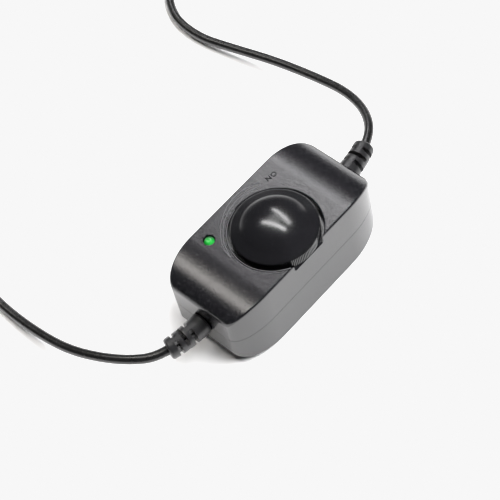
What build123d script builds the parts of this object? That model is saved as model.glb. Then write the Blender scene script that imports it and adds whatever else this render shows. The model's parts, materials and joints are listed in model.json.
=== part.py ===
from build123d import *
import os
from math import acos, cos, degrees, pi, radians, sin, sqrt, tan

# An in-line rotary dimmer for low-voltage lamps, with a lead at each end.
# Millimetres. X runs along the leads, Y across, Z up. The origin is the middle
# of the underside, and -Y is the long side that the knob shows through.

# Housing
housing_length = 66.0
housing_width = 33.2
housing_height = 28.3
wall = 1.8
corner_run = 15.0
corner_side = 6.0
roof_curve_run = 15.4
roof_curve_drop = 6.5
belly_curve_run = 20.0
belly_curve_drop = 7.0
end_crease = 0.3
edge_round = 0.3
lip_height = 1.2
lip_gap = 0.1
seam_height = 0.14
seam_depth = 0.25

# Knob and its round recess
knob_y = -3.15
recess_radius = 15.0
recess_depth = 2.6
recess_floor = 1.7
recess_edge = 0.35
knob_radius = 13.8
knob_gap = 0.3
knurl_height = 3.0
knurl_depth = 0.5
knurl_count = 150
dome_rise = 5.2
knob_wall = 1.8
knob_boss_radius = 5.0

# Potentiometer
shaft_radius = 3.0
shaft_flat = 1.5
shaft_rise = 3.7
shaft_chamfer = 0.4
shaft_fit = 0.03
spigot_radius = 2.2
spigot_depth = 1.5
collar_radius = 4.2
collar_thickness = 1.0
bushing_radius = 3.5
bushing_rise = 2.6
bushing_plate = 1.0
bushing_chamfer = 0.3
floor_hole_gap = 0.1
nut_width = 10.0
nut_thickness = 2.0
washer_radius = 5.6
washer_thickness = 0.5
pot_radius = 8.25
pot_case_wall = 0.4
pot_case_height = 6.6
wafer_thickness = 1.2
wafer_tab_width = 14.0
wafer_tab_reach = 11.2
wiper_radius = 6.9
wiper_thickness = 2.0
wiper_height = 1.5
contact_gap = 0.05
switch_radius = 7.6
switch_height = 4.2
spigot_gap = 0.4
terminal_width = 1.2
terminal_thickness = 0.4
terminal_pitch = 5.0
terminal_inset = 1.0
switch_terminal_pitch = 6.0

# Circuit board and what is soldered to it
board_end_gap = 0.8
board_side_gap = 1.6
board_thickness = 1.6
board_height = 5.6
post_end_inset = 2.0
post_side_inset = 2.4
post_radius = 2.2
peg_radius = 0.9
peg_rise = 0.6
peg_gap = 0.1
capacitor_radius = 3.15
capacitor_height = 11.0
capacitor_round = 0.5
crimp_lift = 1.5
crimp_width = 0.8
crimp_depth = 0.3
capacitor_end_inset = 6.1
capacitor_side_inset = 5.6
transistor_end_inset = 6.9
transistor_side_inset = 6.2
transistor_width = 10.0
transistor_depth = 4.5
transistor_height = 9.2
transistor_lift = 1.6
tab_thickness = 1.3
tab_height = 14.6
tab_hole_radius = 1.8
leg_width = 0.8
leg_pitch = 2.54
chip_end_inset = 7.7
chip_side_inset = 5.2
chip_length = 9.4
chip_width = 6.4
chip_height = 3.3
chip_lift = 0.3
chip_edge = 0.4
chip_leg_width = 0.5
chip_leg_thickness = 0.3
chip_legs_per_side = 4
resistor_end_inset = 7.5
resistor_rows = [-1.2, 2.0, 5.2]
resistor_radius = 1.15
resistor_length = 6.3
lead_radius = 0.3
lead_reach = 1.6
lead_lift = 0.3
diode_end_inset = 6.9
diode_y = -1.0
diode_radius = 1.35
diode_length = 5.0
disc_side_inset = 2.6
disc_spacing = 5.2
disc_radius = 2.4
disc_thickness = 2.2

# Indicator lamp
led_end_inset = 17.9
led_side_inset = 5.8
led_radius = 1.75
led_hole_radius = 1.95
led_flange_radius = 2.2
led_flange_thickness = 1.0
led_flange_gap = 0.2
led_proud = 0.35
led_tip_round = 1.4
led_lead_width = 0.5
led_lead_pitch = 2.54

# Housing screws
screw_end_inset = 8.0
screw_side_inset = 7.0
screw_head_radius = 2.2
screw_head_height = 1.6
screw_head_round = 0.5
screw_shank_radius = 1.2
screw_shank_length = 12.0
screw_point = 0.6
screw_seat = 7.0
screw_slot_length = 2.6
screw_slot_width = 0.6
screw_slot_depth = 0.8
screw_head_gap = 0.3
screw_shank_gap = 0.25
screw_pilot_gap = 0.05
screw_boss_wall = 1.2
top_boss_radius = 2.7

# Leads and their segmented strain reliefs
cord_radius = 1.6
cord_inset = 4.5
cord_arc_share = 0.45
boot_length = 14.0
boot_straight = 5.5
boot_root_radius = 3.85
boot_tip_radius = 3.5
boot_bore_gap = 0.05
boot_neck_radius = 3.0
boot_hole_gap = 0.1
boot_flange_radius = 4.2
boot_flange_thickness = 1.5
boot_flange_gap = 0.05
boot_tip_round = 0.8
boot_slot_width = 1.2
boot_slot_first = 5.6
boot_slot_pitch = 2.7
boot_slots = 3
boot_web = 2.0
wire_radius = 0.65
wire_spacing = 1.6
wire_pad_inset = 1.9
wire_pad_spacing = 4.4
wire_bend_x = 4.5

# Lead ends: a barrel plug on one, the matching socket on the other
plug_radius = 5.2
plug_length = 27.0
plug_grip_length = 16.0
plug_tail_radius = 2.5
plug_cord_depth = 6.0
plug_rib_count = 6
plug_rib_depth = 0.35
plug_rib_width = 0.9
plug_rib_pitch = 1.9
barrel_radius = 2.75
barrel_bore = 2.35
barrel_length = 9.5
barrel_seat = 3.0
barrel_flange_radius = 3.5
contact_bore = 1.05
contact_radius = 1.45
nest_gap = 0.05
socket_radius = 5.5
socket_bore = 3.2
socket_depth = 9.5
socket_liner_bore = 2.85
socket_pin_radius = 1.0
socket_pin_length = 8.5
socket_pin_seat = 3.0
socket_pin_round = 0.3

# Heights and places that follow from those
half_length = housing_length / 2
half_width = housing_width / 2
parting = housing_height / 2
recess_z = housing_height - recess_depth
floor_z = recess_z - recess_floor
knob_z = recess_z + knob_gap
rim_z = knob_z + knurl_height
dome_top = rim_z + dome_rise
dome_sphere = (knob_radius**2 + dome_rise**2) / (2 * dome_rise)
bushing_top = recess_z + bushing_rise
boss_z = bushing_top + knob_gap
shaft_top = bushing_top + shaft_rise
plate_z = floor_z - bushing_plate
wafer_top = plate_z - pot_case_height
wafer_z = wafer_top - wafer_thickness
switch_z = wafer_z - switch_height
spigot_z = wafer_z - spigot_depth
wiper_z = wafer_top + wiper_height
board_top = board_height + board_thickness
roof_z = housing_height - wall
screw_x = half_length - screw_end_inset
screw_y = half_width - screw_side_inset
bottom_boss_radius = screw_head_radius + screw_head_gap + screw_boss_wall
board_length = 2 * (screw_x - bottom_boss_radius - board_end_gap)
board_width = 2 * (half_width - wall - board_side_gap)
post_x = board_length / 2 - post_end_inset
post_y = board_width / 2 - post_side_inset
wire_pad_x = board_length / 2 - wire_pad_inset
capacitor_place = (board_length / 2 - capacitor_end_inset, capacitor_side_inset - board_width / 2)
transistor_x = board_length / 2 - transistor_end_inset
transistor_y = board_width / 2 - transistor_side_inset
chip_place = (chip_end_inset - board_length / 2, chip_side_inset - board_width / 2)
resistor_places = [(resistor_end_inset - board_length / 2, row) for row in resistor_rows]
diode_place = (board_length / 2 - diode_end_inset, diode_y)
disc_y = board_width / 2 - disc_side_inset
disc_places = [(-disc_spacing / 2, disc_y), (disc_spacing / 2, disc_y)]
led_x = led_end_inset - half_length
led_y = half_width - led_side_inset


# One curve of the roof or belly ends just short of its upright tangent
def curve_start(run):
    return half_length - run + end_crease


# Outline of the housing seen from above, drawn inwards by inset
def plan_outline(inset):
    flat_x = half_length - corner_run
    flat_y = half_width - corner_side
    with BuildSketch() as outline:
        with BuildLine():
            Line((0, half_width - inset), (flat_x, half_width - inset))
            EllipticalCenterArc(
                (flat_x, flat_y), corner_run - inset, corner_side - inset, arc_size=90
            )
            Line((half_length - inset, flat_y), (half_length - inset, 0))
            mirror(about=Plane.XZ)
            mirror(about=Plane.YZ)
        make_face()
    return outline.sketch


# Side view of the housing, with both ends of the roof and the belly curved
def side_outline(inset):
    end_x = half_length - inset
    roof_x = curve_start(roof_curve_run)
    belly_x = curve_start(belly_curve_run)
    roof_run = roof_curve_run - inset
    belly_run = belly_curve_run - inset
    roof_drop = roof_curve_drop - inset
    belly_drop = belly_curve_drop - inset
    roof_angle = degrees(acos((end_x - roof_x) / roof_run))
    belly_angle = degrees(acos((end_x - belly_x) / belly_run))
    roof_centre = housing_height - roof_curve_drop
    with BuildSketch(Plane.XZ) as outline:
        with BuildLine():
            Line((0, housing_height - inset), (roof_x, housing_height - inset))
            roof = EllipticalCenterArc(
                (roof_x, roof_centre), roof_run, roof_drop, roof_angle, arc_size=90 - roof_angle
            )
            belly = EllipticalCenterArc(
                (belly_x, belly_curve_drop), belly_run, belly_drop, 270, arc_size=90 - belly_angle
            )
            Line(roof @ 0, belly @ 1)
            Line((0, inset), (belly_x, inset))
            mirror(about=Plane.YZ)
        make_face()
    return outline.sketch


# Whole body of the housing, drawn inwards by inset
def housing_form(inset):
    with BuildPart() as form:
        with BuildSketch():
            add(plan_outline(inset))
        extrude(amount=housing_height)
        side = side_outline(inset)
        extrude(side, amount=housing_width, dir=(0, 1, 0), both=True, mode=Mode.INTERSECT)
    return form.part


# A flat ring that follows the housing's outline between two insets
def outline_ring(outer_inset, inner_inset, height):
    with BuildPart() as ring:
        with BuildSketch(Plane.XY.offset(parting)):
            add(plan_outline(outer_inset))
            add(plan_outline(inner_inset), mode=Mode.SUBTRACT)
        extrude(amount=height)
    return ring.part


# The moulded body, with its long outer edges softened
with BuildPart() as body:
    add(housing_form(0))
    long_edges = body.edges().filter_by(lambda edge: edge.bounding_box().size.X > end_crease)
    fillet(long_edges, radius=edge_round)
outer_form = body.part
cavity_form = housing_form(wall)
rebate = outline_ring(wall / 2, wall + lip_gap, lip_height + lip_gap)
lip = outline_ring(wall / 2 + lip_gap, wall, lip_height)
seam = outline_ring(-wall, seam_depth, seam_height)

# The hollow inside, with solid stock left round and under the knob's recess
with BuildPart() as cavity:
    add(cavity_form)
    with BuildSketch(Plane((0, knob_y, floor_z))):
        Circle(recess_radius + recess_floor)
    extrude(amount=housing_height, mode=Mode.SUBTRACT)

screw_grid = [(x, y) for x in (-screw_x, screw_x) for y in (-screw_y, screw_y)]
post_grid = [(x, y) for x in (-post_x, post_x) for y in (-post_y, post_y)]
boot_hole_radius = boot_neck_radius + boot_hole_gap

# Top cover
with BuildPart() as top_cover:
    add(outer_form)
    add(cavity.part, mode=Mode.SUBTRACT)
    with BuildSketch(Plane.XY.offset(parting)):
        with Locations(*screw_grid):
            Circle(top_boss_radius)
    extrude(amount=housing_height - parting)
    add(outer_form, mode=Mode.INTERSECT)
    split(bisect_by=Plane.XY.offset(parting), keep=Keep.TOP)
    add(rebate, mode=Mode.SUBTRACT)
    add(seam, mode=Mode.SUBTRACT)
    with BuildSketch(Plane.XY.offset(parting)):
        with Locations(*screw_grid):
            Circle(screw_shank_radius + screw_pilot_gap)
    extrude(amount=screw_seat + screw_shank_length - parting + screw_slot_depth, mode=Mode.SUBTRACT)
    with BuildSketch(Plane((0, knob_y, recess_z))):
        Circle(recess_radius)
    extrude(amount=housing_height, mode=Mode.SUBTRACT)
    with BuildSketch(Plane((0, knob_y, housing_height - recess_edge))):
        Circle(recess_radius)
    extrude(amount=2 * recess_edge, taper=-45, mode=Mode.SUBTRACT)
    with BuildSketch(Plane((0, knob_y, floor_z))):
        Circle(bushing_radius + floor_hole_gap)
    extrude(amount=recess_floor, mode=Mode.SUBTRACT)
    with BuildSketch(Plane((led_x, led_y, roof_z))):
        Circle(led_hole_radius)
    extrude(amount=housing_height, mode=Mode.SUBTRACT)
    with BuildSketch(Plane(origin=(0, 0, parting), z_dir=(1, 0, 0))):
        Circle(boot_hole_radius)
    extrude(amount=housing_length, both=True, mode=Mode.SUBTRACT)
top_cover.part.label = "top_cover"

# Bottom cover, with posts for the board and bosses for the screws
with BuildPart() as bottom_cover:
    add(outer_form)
    add(cavity.part, mode=Mode.SUBTRACT)
    with BuildSketch():
        with Locations(*screw_grid):
            Circle(bottom_boss_radius)
    extrude(amount=parting)
    with BuildSketch():
        with Locations(*post_grid):
            Circle(post_radius)
    extrude(amount=board_height)
    with BuildSketch():
        with Locations(*post_grid):
            Circle(peg_radius)
    extrude(amount=board_top + peg_rise)
    add(outer_form, mode=Mode.INTERSECT)
    split(bisect_by=Plane.XY.offset(parting), keep=Keep.BOTTOM)
    add(lip)
    with BuildSketch():
        with Locations(*screw_grid):
            Circle(screw_head_radius + screw_head_gap)
    extrude(amount=screw_seat, mode=Mode.SUBTRACT)
    with BuildSketch():
        with Locations(*screw_grid):
            Circle(screw_shank_radius + screw_shank_gap)
    extrude(amount=parting, mode=Mode.SUBTRACT)
    with BuildSketch(Plane(origin=(0, 0, parting), z_dir=(1, 0, 0))):
        Circle(boot_hole_radius)
    extrude(amount=housing_length, both=True, mode=Mode.SUBTRACT)
bottom_cover.part.label = "bottom_cover"

# Four pan-head screws, driven from underneath
with BuildPart() as housing_screws:
    with BuildSketch(Plane.XY.offset(screw_seat - screw_head_height)):
        with Locations(*screw_grid):
            Circle(screw_head_radius)
    extrude(amount=screw_head_height)
    fillet(housing_screws.edges().group_by(Axis.Z)[0], radius=screw_head_round)
    with BuildSketch(Plane.XY.offset(screw_seat)):
        with Locations(*screw_grid):
            Circle(screw_shank_radius)
    extrude(amount=screw_shank_length)
    chamfer(housing_screws.edges().group_by(Axis.Z)[-1], length=screw_point)
    with BuildSketch(Plane.XY.offset(screw_seat - screw_head_height)):
        with Locations(*screw_grid):
            Rectangle(screw_slot_length, screw_slot_width)
            Rectangle(screw_slot_width, screw_slot_length)
    extrude(amount=screw_slot_depth, mode=Mode.SUBTRACT)
housing_screws.part.label = "housing_screws"

# The knurl's outline: one pointed tooth for each step round the rim
knurl_points = []
for step in range(2 * knurl_count):
    reach = knob_radius - knurl_depth * (step % 2)
    turn = pi * step / knurl_count
    knurl_points.append((reach * cos(turn), reach * sin(turn)))

# Domed knob, hollow underneath, with a boss that grips the shaft
dome_centre = dome_top - dome_sphere
hollow_radius = knob_radius - knurl_depth - knob_wall
hollow_sphere = dome_sphere - knob_wall


def hollow_roof(radius):
    return dome_centre + sqrt(hollow_sphere**2 - radius**2)


with BuildPart() as dimmer_knob:
    with BuildSketch(Plane((0, knob_y, 0), x_dir=(1, 0, 0), z_dir=(0, -1, 0))):
        with BuildLine():
            Line((0, knob_z), (knob_radius, knob_z))
            Line((knob_radius, knob_z), (knob_radius, rim_z))
            RadiusArc((knob_radius, rim_z), (0, dome_top), -dome_sphere)
            Line((0, dome_top), (0, knob_z))
        make_face()
    revolve(axis=Axis((0, knob_y, 0), (0, 0, 1)))
    with BuildSketch(Plane((0, knob_y, knob_z))):
        Polygon(*knurl_points, align=None)
    extrude(amount=dome_top - knob_z, mode=Mode.INTERSECT)
    with BuildSketch(Plane((0, knob_y, 0), x_dir=(1, 0, 0), z_dir=(0, -1, 0))):
        with BuildLine():
            Line((0, knob_z), (hollow_radius, knob_z))
            Line((hollow_radius, knob_z), (hollow_radius, hollow_roof(hollow_radius)))
            RadiusArc(
                (hollow_radius, hollow_roof(hollow_radius)),
                (knob_boss_radius, hollow_roof(knob_boss_radius)),
                -hollow_sphere,
            )
            Line((knob_boss_radius, hollow_roof(knob_boss_radius)), (knob_boss_radius, boss_z))
            Line((knob_boss_radius, boss_z), (0, boss_z))
            Line((0, boss_z), (0, knob_z))
        make_face()
    revolve(axis=Axis((0, knob_y, 0), (0, 0, 1)), mode=Mode.SUBTRACT)
    with BuildSketch(Plane((0, knob_y, boss_z))):
        Circle(shaft_radius + shaft_fit)
        with Locations((0, shaft_radius + shaft_flat + shaft_fit)):
            Rectangle(4 * shaft_radius, 2 * shaft_radius, mode=Mode.SUBTRACT)
    extrude(amount=shaft_top + shaft_fit - boss_z, mode=Mode.SUBTRACT)
dimmer_knob.part.label = "dimmer_knob"

# Shaft: spigot for the switch, collar under the bushing, flat for the knob
with BuildPart() as pot_shaft:
    with BuildSketch(Plane((0, knob_y, spigot_z))):
        Circle(spigot_radius)
    extrude(amount=wiper_z - spigot_z)
    with BuildSketch(Plane((0, knob_y, wiper_z))):
        Circle(shaft_radius)
    extrude(amount=shaft_top - wiper_z)
    with BuildSketch(Plane((0, knob_y, plate_z - collar_thickness - contact_gap))):
        Circle(collar_radius)
    extrude(amount=collar_thickness)
    with BuildSketch(Plane((0, knob_y, boss_z))):
        with Locations((0, shaft_radius + shaft_flat)):
            Rectangle(4 * shaft_radius, 2 * shaft_radius)
    extrude(amount=shaft_top - boss_z, mode=Mode.SUBTRACT)
    chamfer(pot_shaft.edges().group_by(Axis.Z)[-1], length=shaft_chamfer)
pot_shaft.part.label = "pot_shaft"

# Wiper carrier, turned by the shaft, with one brush over the resistive track
with BuildPart() as pot_wiper:
    with BuildSketch(Plane((0, knob_y, wiper_z))):
        Circle(wiper_radius)
    extrude(amount=wiper_thickness)
    brush_reach = (wiper_radius + shaft_radius) / 2
    with BuildSketch(Plane((0, knob_y, wafer_top + contact_gap))):
        with Locations((0, brush_reach)):
            Rectangle(terminal_width, wiper_radius - shaft_radius - 2 * terminal_thickness)
    extrude(amount=wiper_height - contact_gap)
    with BuildSketch(Plane((0, knob_y, wiper_z))):
        Circle(shaft_radius + shaft_fit)
    extrude(amount=wiper_thickness, mode=Mode.SUBTRACT)
pot_wiper.part.label = "pot_wiper"

# Bushing with its mounting plate, clamped through the recess floor
with BuildPart() as pot_bushing:
    with BuildSketch(Plane((0, knob_y, plate_z))):
        Circle(pot_radius)
    extrude(amount=bushing_plate)
    with BuildSketch(Plane((0, knob_y, plate_z))):
        Circle(bushing_radius)
    extrude(amount=bushing_top - plate_z)
    chamfer(pot_bushing.edges().group_by(Axis.Z)[-1], length=bushing_chamfer)
    with BuildSketch(Plane((0, knob_y, plate_z))):
        Circle(shaft_radius + shaft_fit)
    extrude(amount=bushing_top - plate_z, mode=Mode.SUBTRACT)
pot_bushing.part.label = "pot_bushing"

with BuildPart() as pot_washer:
    with BuildSketch(Plane((0, knob_y, recess_z))):
        Circle(washer_radius)
        Circle(bushing_radius + floor_hole_gap, mode=Mode.SUBTRACT)
    extrude(amount=washer_thickness)
pot_washer.part.label = "pot_washer"

with BuildPart() as pot_nut:
    with BuildSketch(Plane((0, knob_y, recess_z + washer_thickness))):
        RegularPolygon(nut_width / 2, 6, major_radius=False)
        Circle(bushing_radius + shaft_fit, mode=Mode.SUBTRACT)
    extrude(amount=nut_thickness)
pot_nut.part.label = "pot_nut"

with BuildPart() as pot_case:
    with BuildSketch(Plane((0, knob_y, wafer_top))):
        Circle(pot_radius)
        Circle(pot_radius - pot_case_wall, mode=Mode.SUBTRACT)
    extrude(amount=pot_case_height)
pot_case.part.label = "pot_case"

# Wafer that carries the track, with a tab for the terminals
with BuildPart() as pot_wafer:
    with BuildSketch(Plane((0, knob_y, wafer_z))):
        Circle(pot_radius)
        with Locations((0, wafer_tab_reach / 2)):
            Rectangle(wafer_tab_width, wafer_tab_reach)
        Circle(spigot_radius + spigot_gap, mode=Mode.SUBTRACT)
    extrude(amount=wafer_thickness)
pot_wafer.part.label = "pot_wafer"

with BuildPart() as pot_switch:
    with BuildSketch(Plane((0, knob_y, switch_z))):
        Circle(switch_radius)
    extrude(amount=switch_height)
    with BuildSketch(Plane((0, knob_y, spigot_z - spigot_gap))):
        Circle(spigot_radius + spigot_gap)
    extrude(amount=spigot_depth + spigot_gap, mode=Mode.SUBTRACT)
pot_switch.part.label = "pot_switch"

# Terminals: three from the wafer's tab and two from the switch, down to the board
with BuildPart() as pot_terminals:
    with BuildSketch(Plane((0, knob_y + wafer_tab_reach - terminal_inset, board_top))):
        with GridLocations(terminal_pitch, 1, 3, 1):
            Rectangle(terminal_width, terminal_thickness)
    extrude(amount=wafer_z - board_top)
    with BuildSketch(Plane((0, knob_y, board_top))):
        with GridLocations(switch_terminal_pitch, 1, 2, 1):
            Rectangle(terminal_width, terminal_thickness)
    extrude(amount=switch_z - board_top)
pot_terminals.part.label = "pot_terminals"

# Circuit board
with BuildPart() as circuit_board:
    with BuildSketch(Plane.XY.offset(board_height)):
        Rectangle(board_length, board_width)
        with Locations(*post_grid):
            Circle(peg_radius + peg_gap, mode=Mode.SUBTRACT)
    extrude(amount=board_thickness)
circuit_board.part.label = "circuit_board"

# Smoothing capacitor: a can with a crimped waist
with BuildPart() as filter_capacitor:
    with BuildSketch(Plane((*capacitor_place, board_top))):
        Circle(capacitor_radius)
    extrude(amount=capacitor_height)
    fillet(filter_capacitor.edges().group_by(Axis.Z)[-1], radius=capacitor_round)
    with BuildSketch(Plane((*capacitor_place, board_top + crimp_lift))):
        Circle(capacitor_radius + 1)
        Circle(capacitor_radius - crimp_depth, mode=Mode.SUBTRACT)
    extrude(amount=crimp_width, mode=Mode.SUBTRACT)
filter_capacitor.part.label = "filter_capacitor"

# Power transistor: moulded block against its metal tab, on three legs
transistor_z = board_top + transistor_lift
with BuildPart() as power_transistor:
    with BuildSketch(Plane((transistor_x, transistor_y, transistor_z))):
        Rectangle(transistor_depth - tab_thickness, transistor_width)
    extrude(amount=transistor_height)
power_transistor.part.label = "power_transistor"

with BuildPart() as transistor_tab:
    with BuildSketch(Plane((transistor_x + transistor_depth / 2, transistor_y, transistor_z))):
        Rectangle(tab_thickness, transistor_width)
    extrude(amount=tab_height)
    tab_hole_z = transistor_z + (transistor_height + tab_height) / 2
    tab_face = Plane((transistor_x, transistor_y, tab_hole_z), z_dir=(1, 0, 0))
    with BuildSketch(tab_face):
        Circle(tab_hole_radius)
    extrude(amount=2 * transistor_depth, mode=Mode.SUBTRACT)
    with BuildSketch(Plane((transistor_x, transistor_y, board_top))):
        with GridLocations(1, leg_pitch, 1, 3):
            Rectangle(terminal_thickness, leg_width)
    extrude(amount=transistor_lift)
transistor_tab.part.label = "transistor_tab"

# Timer chip and its legs
chip_z = board_top + chip_lift
with BuildPart() as timer_chip:
    with BuildSketch(Plane((*chip_place, chip_z))):
        Rectangle(chip_length, chip_width)
    extrude(amount=chip_height)
    chamfer(timer_chip.edges().group_by(Axis.Z)[-1], length=chip_edge)
timer_chip.part.label = "timer_chip"

with BuildPart() as timer_chip_legs:
    with BuildSketch(Plane((*chip_place, board_top))):
        with GridLocations(leg_pitch, chip_width + chip_leg_thickness, chip_legs_per_side, 2):
            Rectangle(chip_leg_width, chip_leg_thickness)
    extrude(amount=chip_lift + chip_height / 2)
timer_chip_legs.part.label = "timer_chip_legs"


# An axial component: a round body between two leads bent down to the board
def axial_component(name, places, radius, length):
    centre_z = board_top + lead_lift + radius
    with BuildPart() as component:
        for x, y in places:
            with BuildSketch(Plane(origin=(x, y, centre_z), z_dir=(1, 0, 0))):
                Circle(radius)
            extrude(amount=length / 2, both=True)
            with BuildSketch(Plane(origin=(x, y, centre_z), z_dir=(1, 0, 0))):
                Circle(lead_radius)
            extrude(amount=length / 2 + lead_reach, both=True)
            with BuildSketch(Plane((x, y, board_top))):
                with GridLocations(length + 2 * lead_reach - 2 * lead_radius, 1, 2, 1):
                    Rectangle(2 * lead_radius, 2 * lead_radius)
            extrude(amount=centre_z - board_top)
    component.part.label = name
    return component.part


resistors = axial_component("resistors", resistor_places, resistor_radius, resistor_length)
diode = axial_component("diode", [diode_place], diode_radius, diode_length)

# Two small disc capacitors standing on their legs
with BuildPart() as disc_capacitors:
    for x, y in disc_places:
        disc_z = board_top + lead_lift + disc_radius
        with BuildSketch(Plane((x, y, disc_z), x_dir=(1, 0, 0), z_dir=(0, -1, 0))):
            Circle(disc_radius)
        extrude(amount=disc_thickness / 2, both=True)
        with BuildSketch(Plane((x, y, board_top))):
            with GridLocations(leg_pitch, 1, 2, 1):
                Rectangle(2 * lead_radius, 2 * lead_radius)
        extrude(amount=disc_radius)
disc_capacitors.part.label = "disc_capacitors"

# Green indicator lamp, its lens standing in a hole in the roof
led_flange_z = roof_z - led_flange_gap - led_flange_thickness
led_tip = housing_height + led_proud
with BuildPart() as indicator_led:
    with BuildSketch(Plane((led_x, led_y, led_flange_z))):
        Circle(led_flange_radius)
    extrude(amount=led_flange_thickness)
    with BuildSketch(Plane((led_x, led_y, led_flange_z))):
        Circle(led_radius)
    extrude(amount=led_tip - led_flange_z)
    fillet(indicator_led.edges().group_by(Axis.Z)[-1], radius=led_tip_round)
indicator_led.part.label = "indicator_led"

with BuildPart() as led_leads:
    with BuildSketch(Plane((led_x, led_y, board_top))):
        with GridLocations(led_lead_pitch, 1, 2, 1):
            Rectangle(led_lead_width, led_lead_width)
    extrude(amount=led_flange_z - board_top)
led_leads.part.label = "led_leads"


# Corner radii of a cord's route: a share of the shorter run over the half turn's tangent
def corner_radii(points):
    sizes = []
    for before, corner, after in zip(points, points[1:], points[2:]):
        run_in = Vector(corner) - Vector(before)
        run_out = Vector(after) - Vector(corner)
        half_turn = radians(run_in.get_angle(run_out)) / 2
        sizes.append(cord_arc_share * min(run_in.length, run_out.length) / tan(half_turn))
    return sizes


# A round tube along straight runs and tangent arcs
def round_tube(name, points, radius):
    sizes = corner_radii(points)
    with BuildPart() as tube:
        with BuildLine(mode=Mode.PRIVATE) as route:
            FilletPolyline(*points, radius=sizes)
        path = route.wire()
        with BuildSketch(Plane(origin=path @ 0, z_dir=path % 0)):
            Circle(radius)
        sweep(path=path)
    tube.part.label = name
    length = path.length
    print(name, "length", round(length, 1), "radii", [round(size, 1) for size in sizes])
    print(name, "volume over section x length", round(tube.part.volume / (length * pi * radius**2), 4))
    return tube.part


# Routes of the two leads, from inside the housing to inside their end pieces, which lie
# on the surface that the housing stands on
cord_end_x = half_length - cord_inset
input_route = [
    (cord_end_x, 0, parting),
    (half_length + boot_straight, 0, parting),
    (51.5, 3.7, 14.1),
    (58.4, 11.6, 13.2),
    (61.8, 22.8, 11.2),
    (62.1, 35.8, 8.6),
    (60.6, 54.4, 6.0),
    (57.2, 72.0, 4.0),
    (54.5, 87.1, 2.4),
    (57.0, 103.1, 1.8),
    (69.5, 115.5, 3.0),
    (83.5, 113.5, socket_radius),
    (92.5, 100.5, socket_radius),
]
output_route = [
    (-cord_end_x, 0, parting),
    (-half_length - boot_straight, 0, parting),
    (-50.6, 3.0, 14.1),
    (-56.5, 10.2, 12.8),
    (-61.2, 20.8, 10.2),
    (-64.2, 33.0, 7.0),
    (-65.0, 48.0, 4.0),
    (-64.6, 64.2, 2.0),
    (-62.0, 80.0, 1.7),
    (-54.0, 95.0, 1.9),
    (-41.5, 108.0, 3.4),
    (-28.5, 120.0, plug_radius),
    (-17.0, 131.2, plug_radius),
]
input_cord = round_tube("input_cord", input_route, cord_radius)
output_cord = round_tube("output_cord", output_route, cord_radius)


# Segmented strain relief on a lead: flange and neck in the wall, then rings
# joined by webs that turn a quarter from one gap to the next
def strain_relief(name, route):
    start, bend, onward = (Vector(point) for point in route[:3])
    side = 1 if start.X > 0 else -1
    outward = Vector(side, 0, 0)
    heading = (onward - bend).normalized()
    root = Vector(side * half_length, 0, parting)
    tip = bend + heading * (boot_length - (bend - root).length)
    bend_radius = corner_radii(route[:3])[0]
    flange_start = root - outward * (wall + boot_flange_gap + boot_flange_thickness)
    with BuildPart() as boot:
        with BuildLine(mode=Mode.PRIVATE) as spine:
            FilletPolyline(root, bend, tip, radius=bend_radius)
        path = spine.wire()
        with BuildSketch(Plane(origin=root, z_dir=outward)):
            Circle(boot_root_radius)
        with BuildSketch(Plane(origin=tip, z_dir=heading)):
            Circle(boot_tip_radius)
        sweep(path=path, multisection=True)
        fillet(boot.faces().sort_by_distance(tip)[0].edges(), radius=boot_tip_round)
        with BuildSketch(Plane(origin=root, z_dir=-outward)):
            Circle(boot_neck_radius)
        extrude(amount=wall + boot_flange_gap)
        with BuildSketch(Plane(origin=flange_start, z_dir=outward)):
            Circle(boot_flange_radius)
        extrude(amount=boot_flange_thickness)
        for gap in range(boot_slots):
            reach = boot_slot_first + boot_slot_pitch * gap
            centre = path.position_at(reach, position_mode=PositionMode.LENGTH)
            along = path.tangent_at(reach, position_mode=PositionMode.LENGTH)
            web_tall = gap % 2 == 0
            with BuildSketch(Plane(origin=centre, x_dir=(0, 0, 1), z_dir=along)):
                Circle(boot_root_radius + 1)
                Rectangle(
                    4 * boot_root_radius if web_tall else boot_web,
                    boot_web if web_tall else 4 * boot_root_radius,
                    mode=Mode.SUBTRACT,
                )
            extrude(amount=boot_slot_width / 2, both=True, mode=Mode.SUBTRACT)
        with BuildLine(mode=Mode.PRIVATE) as core:
            FilletPolyline(start, bend, onward, radius=bend_radius)
        with BuildSketch(Plane(origin=start, z_dir=outward)):
            Circle(cord_radius + boot_bore_gap)
        sweep(path=core.wire(), mode=Mode.SUBTRACT)
    boot.part.label = name
    return boot.part


input_strain_relief = strain_relief("input_strain_relief", input_route)
output_strain_relief = strain_relief("output_strain_relief", output_route)


# The two insulated wires of a lead, from the cord's end down to the board
def lead_wire(name, side, lane):
    cord_y = lane * wire_spacing / 2
    pad_y = lane * wire_pad_spacing / 2
    start_x = side * cord_end_x
    pad_x = side * wire_pad_x
    route = [
        (start_x, cord_y, parting),
        (start_x - side * wire_bend_x, cord_y, parting),
        (pad_x, pad_y, (parting + board_top) / 2 + wire_radius),
        (pad_x, pad_y, board_top),
    ]
    return round_tube(name, route, wire_radius)


input_wire_positive = lead_wire("input_wire_positive", 1, 1)
input_wire_negative = lead_wire("input_wire_negative", 1, -1)
output_wire_positive = lead_wire("output_wire_positive", -1, 1)
output_wire_negative = lead_wire("output_wire_negative", -1, -1)


# Plane at the cord's entry into the piece on its far end, looking along the cord
def lead_end_plane(route):
    last = Vector(route[-1])
    heading = (last - Vector(route[-2])).normalized()
    return Plane(origin=last - heading * plug_cord_depth, x_dir=(0, 0, 1), z_dir=heading)


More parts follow.
